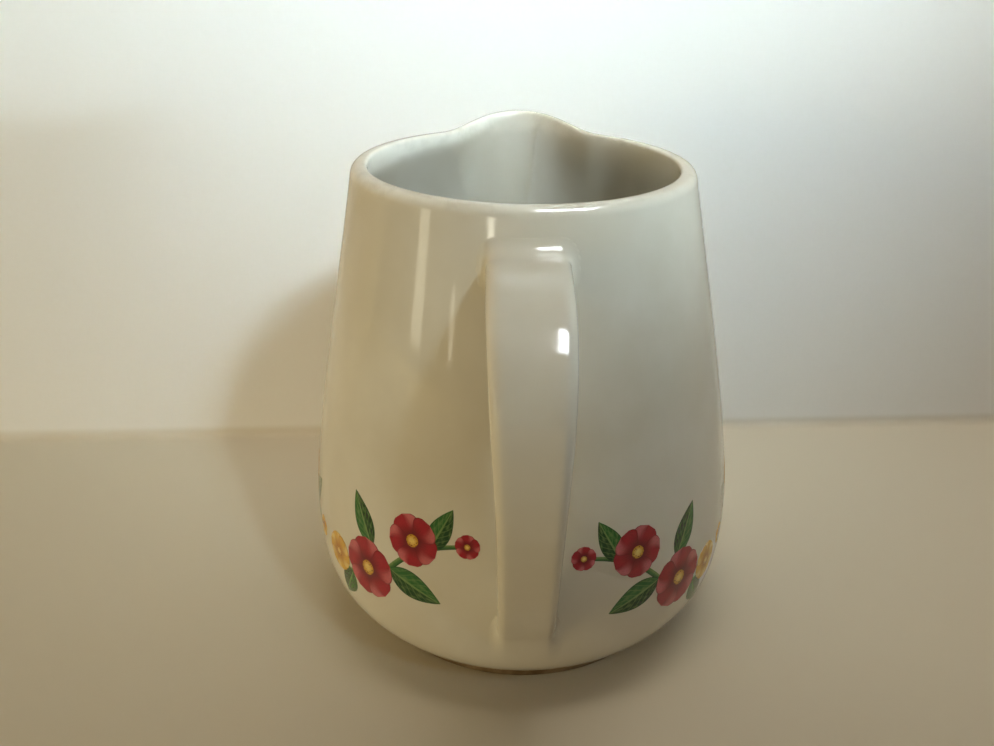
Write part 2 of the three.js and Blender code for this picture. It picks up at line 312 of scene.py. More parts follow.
class NodeSheet:
    """A node tree, with short ways to add nodes and link them."""

    NODE_SPACING = 180

    def __init__(self, tree: bpy.types.NodeTree) -> None:
        """Starts on a tree and clears it."""
        self.tree = tree
        tree.nodes.clear()

    def add(
        self,
        kind: str,
        inputs: dict[str | int, object] | None = None,
        **settings: object,
    ) -> bpy.types.Node:
        """Adds a node.

        Args:
            kind: The node's type, without its ShaderNode prefix.
            inputs: A value or a socket for each named input.
            settings: The node's own properties.

        Returns:
            The node.
        """
        node = self.tree.nodes.new(kind if kind.startswith("Node") else "ShaderNode" + kind)
        node.location = (self.NODE_SPACING * len(self.tree.nodes), 0)
        for key, value in settings.items():
            setattr(node, key, value)
        for key, value in (inputs or {}).items():
            self.feed(node.inputs[key], value)
        return node

    def feed(self, socket: Socket, value: object) -> None:
        """Links an input to a socket, or sets the input's value.

        Args:
            socket: The input.
            value: The socket or the value that goes into it.
        """
        if isinstance(value, Socket):
            self.tree.links.new(value, socket)
        else:
            socket.default_value = value

    def math(self, operation: str, *values: object) -> Socket:
        """The result of a Math node on values or sockets."""
        return self.add("Math", dict(enumerate(values)), operation=operation).outputs[0]

    def times(self, first: object, second: object) -> Socket:
        """The product of two values or sockets."""
        return self.math("MULTIPLY", first, second)

    def rest_of(self, share: object) -> Socket:
        """What a share leaves of 1."""
        return self.math("SUBTRACT", 1.0, share)

    def remap(self, value: object, low: float, high: float) -> Socket:
        """An eased step of a value, from 0 at low to 1 at high."""
        inputs = {"Value": value, "From Min": low, "From Max": high}
        return self.add("MapRange", inputs, interpolation_type="SMOOTHSTEP").outputs["Result"]

    def mix(self, share: object, first: object, second: object) -> Socket:
        """A colour between two others.

        Args:
            share: How much of the second colour there is.
            first: A colour or a socket.
            second: A colour or a socket.

        Returns:
            The colour's socket.
        """
        node = self.add("Mix", data_type="RGBA", blend_type="MIX")
        for key, value in zip(MIX_INPUTS, (share, first, second), strict=True):
            self.feed(next(s for s in node.inputs if s.identifier == key), value)
        return next(s for s in node.outputs if s.identifier == "Result_Color")

    def noise(self, place: object, scale: float, detail: float = 2.0) -> Socket:
        """Soft noise from 0 to 1 over a place."""
        return self.add("TexNoise", {"Vector": place, "Scale": scale, "Detail": detail}).outputs["Fac"]

    def place(self) -> Socket:
        """Where a point lies on the piece."""
        return self.add("TexCoord").outputs["Object"]

    def height(self, place: object) -> Socket:
        """How high a place lies."""
        return self.add("SeparateXYZ", {"Vector": place}).outputs["Z"]

    def principled(self, **inputs: object) -> None:
        """Adds the Principled shader and links it to the material's output.

        Args:
            inputs: The shader's inputs, with an underscore for each space in a name.
        """
        named = {key.replace("_", " "): value for key, value in inputs.items()}
        shader = self.add("BsdfPrincipled", named)
        self.add("OutputMaterial", {"Surface": shader.outputs["BSDF"]})


def new_material(name: str) -> tuple[bpy.types.Material, NodeSheet]:
    """Starts a material.

    Args:
        name: The material's name.

    Returns:
        The material and the sheet of its nodes.
    """
    material = bpy.data.materials.new(name)
    material.use_nodes = True
    return material, NodeSheet(material.node_tree)


def new_group(
    name: str,
    inputs: dict[str, float],
    outputs: dict[str, str],
) -> tuple[NodeSheet, bpy.types.Node, bpy.types.Node]:
    """Starts a node group that several materials share.

    Args:
        name: The group's name.
        inputs: The number inputs and their usual values.
        outputs: The outputs and their socket types, without the NodeSocket prefix.

    Returns:
        The sheet of its nodes, the node that its inputs come from, and the node that its outputs go to.
    """
    tree = bpy.data.node_groups.new(name, "ShaderNodeTree")
    for key, value in inputs.items():
        socket = tree.interface.new_socket(key, in_out="INPUT", socket_type="NodeSocketFloat")
        socket.default_value = value
    for key, kind in outputs.items():
        tree.interface.new_socket(key, in_out="OUTPUT", socket_type="NodeSocket" + kind)
    sheet = NodeSheet(tree)
    return sheet, sheet.add("NodeGroupInput"), sheet.add("NodeGroupOutput")


# Finishes


class SharedEffects:
    """The effects that more than one finish uses, each built once."""

    BROAD_RIPPLES = 55.0
    FINE_RIPPLES = 420.0
    FINE_SHARE = 0.06
    DULL_PATCHES = 120.0
    DULL_RANGE = (0.35, 0.75)
    SPECK_EDGE = (0.04, 0.11)

    def __init__(self) -> None:
        """Builds the groups."""
        self.gloss = self._gloss()
        self.specks = self._specks()

    def _gloss(self) -> bpy.types.NodeTree:
        """How a fired surface ripples, and where it is a little less glossy.

        Returns:
            The group, which gives a roughness and a height.
        """
        sheet, given, result = new_group(
            "fired_gloss",
            {"Roughness": 0.08, "Spread": 0.05},
            {"Roughness": "Float", "Height": "Float"},
        )
        place = sheet.place()
        broad = sheet.noise(place, self.BROAD_RIPPLES)
        fine = sheet.noise(place, self.FINE_RIPPLES, 3.0)
        uneven = sheet.remap(sheet.noise(place, self.DULL_PATCHES, 4.0), *self.DULL_RANGE)
        rough = sheet.math("MULTIPLY_ADD", uneven, given.outputs["Spread"], given.outputs["Roughness"])
        height = sheet.math("MULTIPLY_ADD", fine, self.FINE_SHARE, broad)
        sheet.feed(result.inputs["Roughness"], rough)
        sheet.feed(result.inputs["Height"], height)
        return sheet.tree

    def _specks(self) -> bpy.types.NodeTree:
        """Rare dark specks in a fired surface.

        Returns:
            The group, which gives their mask.
        """
        sheet, given, result = new_group("kiln_specks", {"Scale": 260.0, "Amount": 0.1}, {"Mask": "Float"})
        inputs = {"Vector": sheet.place(), "Scale": given.outputs["Scale"]}
        cells = sheet.add("TexVoronoi", inputs).outputs
        near = sheet.rest_of(sheet.remap(cells["Distance"], *self.SPECK_EDGE))
        pick = sheet.add("SeparateColor", {"Color": cells["Color"]}).outputs["Red"]
        chosen = sheet.math("LESS_THAN", pick, given.outputs["Amount"])
        sheet.feed(result.inputs["Mask"], sheet.times(near, chosen))
        return sheet.tree

    def glossed(self, sheet: NodeSheet, roughness: float, ripple: float) -> dict[str, Socket]:
        """Places the gloss effect in a material.

        Args:
            sheet: The material's nodes.
            roughness: The lowest roughness.
            ripple: The depth of the surface's ripples, in metres.

        Returns:
            The Principled shader's Roughness and Normal.
        """
        gloss = sheet.add("Group", node_tree=self.gloss)
        gloss.inputs["Roughness"].default_value = roughness
        bump = sheet.add("Bump", {"Height": gloss.outputs["Height"], "Strength": 1.0, "Distance": ripple})
        return {"Roughness": gloss.outputs["Roughness"], "Normal": bump.outputs["Normal"]}

    def specked(self, sheet: NodeSheet, scale: float, amount: float) -> Socket:
        """Places the specks in a material.

        Args:
            sheet: The material's nodes.
            scale: How many cells there are to the metre.
            amount: The share of the cells that hold a speck.

        Returns:
            The mask of the specks.
        """
        inputs = {"Scale": scale, "Amount": amount}
        return sheet.add("Group", inputs, node_tree=self.specks).outputs["Mask"]


@dataclass(frozen=True)
class GlazeFinish:
    """Glossy cream glaze over a pale body.

    A scale counts noise cells to the metre, and a range is the part of a noise over which its effect
    comes in.
    """

    body: Colour = srgb(219, 214, 200)
    pooled: Colour = srgb(209, 202, 184)
    thin: Colour = srgb(225, 219, 203)
    speck: Colour = srgb(96, 74, 52)
    roughness: float = 0.07
    ripple: float = 0.02 * MM
    cloud_scale: float = 38.0
    cloud_range: Pair = (0.32, 0.7)
    rim_height: float = 92 * MM
    thin_rim: Pair = (-2.2 * MM, 0.6 * MM)
    wear_scale: float = 300.0
    wear_range: Pair = (0.25, 0.6)
    pool_heights: Pair = (1.5 * MM, 9 * MM)
    pool_share: float = 0.7
    speck_scale: float = 210.0
    speck_amount: float = 0.012

    def material(self, effects: SharedEffects) -> bpy.types.Material:
        """Builds the material.

        Args:
            effects: The effects that it shares.

        Returns:
            The material.
        """
        material, sheet = new_material("cream_glaze")
        place = sheet.place()
        height = sheet.height(place)
        clouds = sheet.remap(sheet.noise(place, self.cloud_scale, 4.0), *self.cloud_range)
        tone = sheet.mix(clouds, self.body, self.pooled)
        drawn = sheet.remap(height, *(self.rim_height + off for off in self.thin_rim))
        wear = sheet.remap(sheet.noise(place, self.wear_scale, 3.0), *self.wear_range)
        edged = sheet.mix(sheet.times(drawn, wear), tone, self.thin)
        low = sheet.rest_of(sheet.remap(height, *self.pool_heights))
        settled = sheet.mix(sheet.times(low, self.pool_share), edged, self.pooled)
        specks = effects.specked(sheet, self.speck_scale, self.speck_amount)
        colour = sheet.mix(specks, settled, self.speck)
        gloss = effects.glossed(sheet, self.roughness, self.ripple)
        sheet.principled(Base_Color=colour, IOR=GLAZE_IOR, **gloss)
        return material


@dataclass(frozen=True)
class ClayFinish:
    """Bare fired clay, matt, with grain and table marks, in tones darkened with painted shade for the
    shadow under the bowl.

    Its scales and ranges are like those of the glaze.
    """

    # Painted shade: pale and dark are the clay's own tones, darkened to stand for the shadow that the bowl
    # casts on the foot.
    pale: Colour = srgb(140, 120, 92)
    dark: Colour = srgb(104, 84, 58)
    mark: Colour = srgb(78, 62, 46)
    roughness: float = 0.78
    roughness_gain: float = 0.18
    grain: float = 0.06 * MM
    grain_strength: float = 0.8
    grain_scale: float = 2600.0
    grain_range: Pair = (0.45, 0.8)
    grain_share: float = 0.35
    patch_scale: float = 160.0
    patch_range: Pair = (0.35, 0.7)
    rub_scale: Triple = (300.0, 1500.0, 300.0)
    rub_range: Pair = (0.62, 0.72)
    rub_height: float = 0.5 * MM
    speck_scale: float = 900.0
    speck_amount: float = 0.05

    def material(self, effects: SharedEffects) -> bpy.types.Material:
        """Builds the material.

        Args:
            effects: The effects that it shares.

        Returns:
            The material.
        """
        material, sheet = new_material("bare_clay")
        place = sheet.place()
        grain = sheet.noise(place, self.grain_scale, 3.0)
        patches = sheet.remap(sheet.noise(place, self.patch_scale, 5.0), *self.patch_range)
        # The clay's tone, which carries the painted shade of the foot's shadow.
        tone = sheet.mix(patches, self.pale, self.dark)
        grains = sheet.times(sheet.remap(grain, *self.grain_range), self.grain_share)
        grained = sheet.mix(grains, tone, self.dark)
        stretched = sheet.add("Mapping", {"Vector": place, "Scale": self.rub_scale}).outputs["Vector"]
        rubbed = sheet.remap(sheet.noise(stretched, 1.0), *self.rub_range)
        standing = sheet.rest_of(sheet.remap(sheet.height(place), 0.0, self.rub_height))
        marked = sheet.mix(sheet.times(rubbed, standing), grained, self.mark)
        specks = effects.specked(sheet, self.speck_scale, self.speck_amount)
        colour = sheet.mix(specks, marked, self.mark)
        rough = sheet.math("MULTIPLY_ADD", grain, self.roughness_gain, self.roughness)
        inputs = {"Height": grain, "Strength": self.grain_strength, "Distance": self.grain}
        bump = sheet.add("Bump", inputs).outputs["Normal"]
        sheet.principled(Base_Color=colour, Roughness=rough, Normal=bump)
        return material


class Figure(Enum):
    """What an ink is printed as."""

    PETAL = "petal"
    LEAF = "leaf"
    STEM = "stem"
    HEART = "heart"


@dataclass(frozen=True)
class InkFinish:
    """Fired-on enamel with the shading of a print.

    The limits in each figure's shading are shares of the figure's width or length, on its own map, or of
    a noise. The other numbers there say how much of a tone is laid on.
    """

    name: str
    figure: Figure
    deep: Colour
    full: Colour
    light: Colour
    roughness: float = 0.1
    ripple: float = 0.02 * MM
    grain_scale: float = 2400.0
    grain_share: float = 0.16
    petal_streaks: Triple = (16.0, 1.6, 1.0)
    leaf_clouds: float = 5.0
    leaf_veins: float = 46.0
    vein_slant: float = 26.0
    stem_patches: float = 500.0
    heart_dots: float = 7.0

    def material(self, effects: SharedEffects) -> bpy.types.Material:
        """Builds the material.

        Args:
            effects: The effects that it shares.

        Returns:
            The material.
        """
        material, sheet = new_material(self.name)
        flat = sheet.add("UVMap").outputs["UV"]
        shading = {
            Figure.PETAL: self._petal,
            Figure.LEAF: self._leaf,
            Figure.STEM: self._stem,
            Figure.HEART: self._heart,
        }[self.figure]
        printed = shading(sheet, flat)
        grain = sheet.remap(sheet.noise(sheet.place(), self.grain_scale), 0.3, 0.75)
        colour = sheet.mix(sheet.times(grain, self.grain_share), printed, self.deep)
        gloss = effects.glossed(sheet, self.roughness, self.ripple)
        sheet.principled(Base_Color=colour, IOR=GLAZE_IOR, **gloss)
        return material

    @staticmethod
    def _sides(sheet: NodeSheet, flat: Socket) -> tuple[Socket, Socket, Socket]:
        """Takes a figure's map apart.

        Args:
            sheet: The material's nodes.
            flat: The figure's map.

        Returns:
            The shares across and along the figure, and the distance from its middle line.
        """
        parts = sheet.add("SeparateXYZ", {"Vector": flat}).outputs
        off = sheet.math("ABSOLUTE", sheet.math("SUBTRACT", parts["X"], 0.5))
        return parts["X"], parts["Y"], off

    def _petal(self, sheet: NodeSheet, flat: Socket) -> Socket:
        """Shades a petal: dark at its base, streaked, and pale along one side.

        Args:
            sheet: The material's nodes.
            flat: The petal's map.

        Returns:
            The colour's socket.
        """
        across, along, off = self._sides(sheet, flat)
        body = sheet.mix(sheet.remap(along, 0.12, 0.72), self.deep, self.full)
        streaked = sheet.add("Mapping", {"Vector": flat, "Scale": self.petal_streaks}).outputs["Vector"]
        streaks = sheet.remap(sheet.noise(streaked, 1.0), 0.5, 0.72)
        lined = sheet.mix(sheet.times(streaks, 0.55), body, self.deep)
        side = sheet.times(sheet.remap(across, 0.5, 0.82), sheet.remap(along, 0.35, 0.75))
        lit = sheet.mix(sheet.times(side, 0.75), lined, self.light)
        edge = sheet.times(sheet.remap(off, 0.44, 0.5), 0.8)
        return sheet.mix(edge, lit, self.deep)

    def _leaf(self, sheet: NodeSheet, flat: Socket) -> Socket:
        """Shades a leaf: two half tones, a pale middle vein and side veins that slant to the tip.

        Args:
            sheet: The material's nodes.
            flat: The leaf's map.

        Returns:
            The colour's socket.
        """
        across, along, off = self._sides(sheet, flat)
        halves = sheet.mix(sheet.remap(across, 0.42, 0.6), self.full, self.deep)
        clouds = sheet.times(sheet.remap(sheet.noise(flat, self.leaf_clouds, 3.0), 0.45, 0.7), 0.5)
        toned = sheet.mix(clouds, halves, self.light)
        slant = sheet.math(
            "SUBTRACT",
            sheet.times(along, self.leaf_veins),
            sheet.times(off, self.vein_slant),
        )
        veins = sheet.remap(sheet.math("SINE", slant), 0.72, 0.98)
        veined = sheet.mix(sheet.times(veins, 0.4), toned, self.light)
        middle = sheet.rest_of(sheet.remap(off, 0.02, 0.06))
        ribbed = sheet.mix(sheet.times(middle, 0.8), veined, self.light)
        edge = sheet.times(sheet.remap(off, 0.42, 0.5), 0.75)
        return sheet.mix(edge, ribbed, self.deep)

    def _stem(self, sheet: NodeSheet, flat: Socket) -> Socket:
        """Shades a stem: pale on one side and dark on the other.

        Args:
            sheet: The material's nodes.
            flat: The stem's map.

        Returns:
            The colour's socket.
        """
        across, _, _ = self._sides(sheet, flat)
        body = sheet.mix(sheet.remap(across, 0.2, 0.55), self.light, self.full)
        shaded = sheet.mix(sheet.remap(across, 0.6, 0.9), body, self.deep)
        patches = sheet.remap(sheet.noise(sheet.place(), self.stem_patches), 0.45, 0.7)
        return sheet.mix(sheet.times(patches, 0.4), shaded, self.deep)

    def _heart(self, sheet: NodeSheet, flat: Socket) -> Socket:
        """Shades a flower's heart: a pale disc with a dark ring of dots.

        Args:
            sheet: The material's nodes.
            flat: The heart's map.

        Returns:
            The colour's socket.
        """
        dots = sheet.add("TexVoronoi", {"Vector": flat, "Scale": self.heart_dots}).outputs["Distance"]
        middle = {0: flat, 1: (0.5, 0.5, 0.0)}
        away = sheet.add("VectorMath", middle, operation="DISTANCE").outputs["Value"]
        body = sheet.mix(sheet.remap(away, 0.1, 0.48), self.light, self.full)
        dotted = sheet.rest_of(sheet.remap(dots, 0.25, 0.42))
        return sheet.mix(sheet.times(dotted, sheet.remap(away, 0.12, 0.4)), body, self.deep)


class Inks:
    """The inks of the sprays, each with its deep, full and light tone."""

    CRIMSON = InkFinish(
        "crimson_ink", Figure.PETAL, srgb(104, 14, 28), srgb(168, 34, 48), srgb(214, 118, 122)
    )
    YELLOW = InkFinish(
        "yellow_ink", Figure.PETAL, srgb(176, 112, 26), srgb(219, 172, 56), srgb(240, 214, 124)
    )
    PINK = InkFinish(
        "pink_ink", Figure.PETAL, srgb(166, 62, 84), srgb(209, 118, 134), srgb(236, 184, 188)
    )
    LEAF = InkFinish(
        "leaf_ink", Figure.LEAF, srgb(22, 66, 30), srgb(46, 104, 48), srgb(128, 158, 92)
    )
    STEM = InkFinish(
        "stem_ink", Figure.STEM, srgb(34, 74, 34), srgb(62, 112, 56), srgb(118, 150, 86)
    )
    GOLD_HEART = InkFinish(
        "gold_heart_ink", Figure.HEART, srgb(120, 62, 20), srgb(206, 150, 44), srgb(240, 208, 112)
    )
    BROWN_HEART = InkFinish(
        "brown_heart_ink", Figure.HEART, srgb(84, 40, 18), srgb(150, 92, 30), srgb(204, 156, 70)
    )


class Finishes:
    """Every material of the creamer, built once."""

    def __init__(self) -> None:
        """Builds the shared effects, the glaze and the clay."""
        self.effects = SharedEffects()
        self.glaze = GlazeFinish().material(self.effects)
        self.clay = ClayFinish().material(self.effects)
        self._inks: dict[str, bpy.types.Material] = {}

    def ink(self, finish: InkFinish) -> bpy.types.Material:
        """The material of an ink, built at its first use.

        Args:
            finish: The ink.

        Returns:
            The material.
        """
        if finish.name not in self._inks:
            self._inks[finish.name] = finish.material(self.effects)
        return self._inks[finish.name]


# Bowl


class WallFace:
    """The outside of the bowl's wall, for pieces that lie on it."""

    def __init__(self, bowl: Piece, axis: Vector) -> None:
        """Keeps the faces of the bowl that look away from its axis.

        Args:
            bowl: The finished bowl.
            axis: A point of its axis.
        """
        mesh = bowl.data
        outer = [
            tuple(face.vertices)
            for face in mesh.polygons
            if Vector((*(face.center - axis).xy, 0.0)).dot(face.normal) > 0
        ]
        self.tree = BVHTree.FromPolygons([v.co for v in mesh.vertices], outer)

    def nearest(self, point: Vector) -> tuple[Vector, Vector, float]:
        """The nearest place on the wall.

        Args:
            point: A point near the wall.

        Returns:
            The place, the wall's normal there, and the point's distance off the wall, negative inside it.
        """
        foot, normal, _, _ = self.tree.find_nearest(point)
        return foot, normal, (point - foot).dot(normal)


@dataclass
class Bowl:
    """Slip-cast bowl: wall, floor, rim and pinched lip.

    An ease is how far a curve runs straight on from its end. floor_start and floor_pull are shares of
    floor_ease, base_ring is a share of base_radius, and lip_tip rounds the point of the lip's V.
    """

    axis: Vector
    rim_height: float = 92 * MM
    rim_radius: float = 31.3 * MM
    belly_radius: float = 42 * MM
    belly_height: float = 23.5 * MM
    neck_slope: float = 0.19
    neck_ease: float = 26 * MM
    belly_ease_up: float = 15.7 * MM
    belly_ease_down: float = 11.9 * MM
    base_radius: float = 31.2 * MM
    base_height: float = 1.9 * MM
    base_flare: Pair = (7.5 * MM, 5.625 * MM)
    base_ring: float = 0.85
    wall: float = 3.3 * MM
    floor: float = 5.3 * MM
    floor_ease: float = 6 * MM
    floor_start: float = 0.6
    floor_pull: float = 0.5
    rim_edge: float = 1.9 * MM
    rim_edge_inside: float = 0.8 * MM
    lip_reach: float = 11.5 * MM
    lip_rise: float = 2 * MM
    lip_depth: float = 36 * MM
    lip_half_angle: float = math.radians(32.9)
    lip_tip: float = 0.58
    rim_lift: float = 1 * MM
    rim_tilt: float = 0.5 * MM
    columns: int = 128
    belly_steps: int = 14
    neck_steps: int = 24
    edge_steps: int = 5
    floor_steps: int = 6

    def outside(self) -> list[Vector]:
        """Draws the wall's outside, from the base to the rim's rounding.

        Returns:
            Points of (radius, height).
        """
        base = Vector((self.base_radius, self.base_height))
        belly = Vector((self.belly_radius, self.belly_height))
        rim = Vector((self.rim_radius, self.rim_height - self.rim_edge))
        low = interpolate_bezier(
            base,
            base + Vector(self.base_flare),
            belly - Vector((0, self.belly_ease_down)),
            belly,
            self.belly_steps,
        )
        high = interpolate_bezier(
            belly,
            belly + Vector((0, self.belly_ease_up)),
            rim + Vector((self.neck_slope, -1)) * self.neck_ease,
            rim,
            self.neck_steps,
        )
        return [*low, *high[1:]]

    def radius(self, height: float) -> float:
        """The radius of the wall's outside at a height.

        Args:
            height: A height above the table.

        Returns:
            The radius there, or the rim's where no wall is drawn.
        """
        for low, high in pairwise(self.outside()):
            if low.y <= height <= high.y:
                return lerp(low.x, high.x, (height - low.y) / (high.y - low.y))
        return self.rim_radius

    def inside(self) -> list[Vector]:
        """Draws the wall's inside, from the rim down to where the floor's rounding starts.

        Returns:
            Points of (radius, height).
        """
        outer = self.outside()
        inner = []
        for before, point, after in zip(
            [outer[0], *outer[:-1]],
            outer,
            [*outer[1:], outer[-1]],
            strict=True,
        ):
            along = (after - before).normalized()
            inner.append(point + Vector((-along.y, along.x)) * self.wall)
        lowest = self.floor + self.floor_start * self.floor_ease
        return [point for point in reversed(inner) if point.y > lowest]

    def profile(self) -> list[Vector]:
        """Draws the whole wall: from the base up the outside, over the rim and down to the floor.

        Returns:
            Points of (radius, height).
        """
        inner = self.inside()
        rim = []
        for centre, edge, start in (
            (self.rim_radius - self.rim_edge, self.rim_edge, 0.0),
            (inner[0].x + self.rim_edge_inside, self.rim_edge_inside, math.pi / 2),
        ):
            middle = Vector((centre, self.rim_height - edge))
            for step in range(1, self.edge_steps + 1):
                turn = start + math.pi / 2 * step / (self.edge_steps + 1)
                rim.append(middle + Vector((math.cos(turn), math.sin(turn))) * edge)
        pull = self.floor_ease * self.floor_pull
        flat = Vector((inner[-1].x - self.floor_ease, self.floor))
        turn_in = interpolate_bezier(
            inner[-1],
            inner[-1] + (inner[-1] - inner[-2]).normalized() * pull,
            flat + Vector((pull, 0)),
            flat,
            self.floor_steps,
        )
        return [*self.outside(), *rim, *inner, *turn_in[1:]]

    def lip_share(self, angle: float) -> float:
        """The share of the lip's reach at an angle from its middle.

        Args:
            angle: The angle round the axis, in radians.

        Returns:
            A share from 0 beside the lip to 1 at its point.
        """
        across = abs(angle) / self.lip_half_angle
        if across >= 1:
            return 0.0

        def rounded(x: float) -> float:
            """A V with a rounded point."""
            return math.hypot(x, self.lip_tip) - self.lip_tip

        return (1 - rounded(across) / rounded(1)) ** 2

    def lift(self, angle: float) -> float:
        """The height that the rim gains at an angle from the lip's middle, apart from the lip."""
        return self.rim_lift * (1 + math.cos(angle)) / 2 - self.rim_tilt * math.sin(angle)

    def model(self) -> Piece:
        """Makes the bowl's mesh.

        Returns:
            The bowl, with no material.
        """
        rings = self.profile()
        start = self.axis + Vector((0, 0, rings[0].y))
        bowl = Bench.start(
            "bowl",
            bpy.ops.mesh.primitive_circle_add,
            vertices=self.columns,
            radius=rings[0].x,
            location=start,
        )
        Bench.edit(bowl)
        bpy.ops.mesh.select_mode(type="EDGE")
        bpy.ops.mesh.select_all(action="SELECT")
        for before, after in pairwise(rings):
            rise = (0, 0, after.y - before.y)
            bpy.ops.mesh.extrude_edges_move(TRANSFORM_OT_translate={"value": rise})
            grow = after.x / before.x
            centre = self.axis + Vector((0, 0, after.y))
            bpy.ops.transform.resize(value=(grow, grow, 1), center_override=centre)
        self._fill()
        Bench.pick(bowl, lambda v: v.co.z < rings[0].y + TOLERANCE)
        bpy.ops.mesh.extrude_edges_move(TRANSFORM_OT_translate={"value": (0, 0, 0)})
        bpy.ops.transform.resize(value=(self.base_ring, self.base_ring, 1), center_override=start)
        self._fill()
        Bench.done()
        Bench.face_out(bowl)
        self._pinch(bowl)
        Bench.apply(bowl, "SUBSURF", levels=1, render_levels=1)
        Bench.smooth(bowl, degrees=60)
        return bowl

    def _fill(self) -> None:
        """Closes the selected ring with a grid of faces."""
        bpy.ops.mesh.fill_grid(span=self.columns // 4, use_interp_simple=True)

    def _pinch(self, bowl: Piece) -> None:
        """Draws the pouring lip out of the turned rim.

        Args:
            bowl: The turned bowl.
        """
        for vertex in bowl.data.vertices:
            place = vertex.co - self.axis
            angle = math.atan2(place.x, place.y)
            share = self.lip_share(angle)
            up = max(0.0, 1 - (self.rim_height - place.z) / self.lip_depth)
            out = Vector((place.x, place.y, 0)).normalized()
            vertex.co += out * (self.lip_reach * share * up**2)
            vertex.co.z += (self.lip_rise * share + self.lift(angle)) * up**3

    def build(self, finishes: Finishes) -> Piece:
        """Makes and dresses the bowl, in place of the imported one.

        Args:
            finishes: The materials.

        Returns:
            The bowl.
        """
        bowl = self.model()
        bowl.data.materials.append(finishes.glaze)
        settle_piece(bowl, "cream_glaze", "body")
        return bowl


# Foot


@dataclass
class Foot:
    """Bare ring that the bowl stands on."""

    axis: Vector
    radius: float = 31.2 * MM
    width: float = 3.4 * MM
    height: float = 1.95 * MM
    edge: float = 0.6 * MM
    columns: int = 160
    edge_steps: int = 4

    def model(self) -> Piece:
        """Makes the ring's mesh.

        Returns:
            The ring, with its standing edges rounded and no material.
        """
        foot = Bench.start(
            "foot",
            bpy.ops.mesh.primitive_circle_add,
            vertices=self.columns,
            radius=self.radius,
            location=self.axis,
        )
        Bench.edit(foot)
        bpy.ops.mesh.select_mode(type="EDGE")
        bpy.ops.mesh.select_all(action="SELECT")
        inner = 1 - self.width / self.radius
        bpy.ops.mesh.extrude_edges_move(TRANSFORM_OT_translate={"value": (0, 0, 0)})
        bpy.ops.transform.resize(value=(inner, inner, 1), center_override=self.axis)
        bpy.ops.mesh.select_all(action="SELECT")
        bpy.ops.mesh.extrude_region_move(TRANSFORM_OT_translate={"value": (0, 0, self.height)})
        Bench.done()
        Bench.face_out(foot)
        Bench.edit(foot)
        Bench.pick(foot, lambda v: v.co.z < TOLERANCE)
        bpy.ops.mesh.select_mode(type="EDGE")
        bpy.ops.mesh.region_to_loop()
        bpy.ops.mesh.bevel(offset=self.edge, segments=self.edge_steps, affect="EDGES")
        Bench.done()
        Bench.smooth(foot, degrees=40)
        return foot

    def build(self, finishes: Finishes) -> None:
        """Makes and dresses the ring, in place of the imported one.

        Args:
            finishes: The materials.
        """
        foot = self.model()
        foot.data.materials.append(finishes.clay)
        settle_piece(foot, "bare_clay", "foot_ring")


# Handle


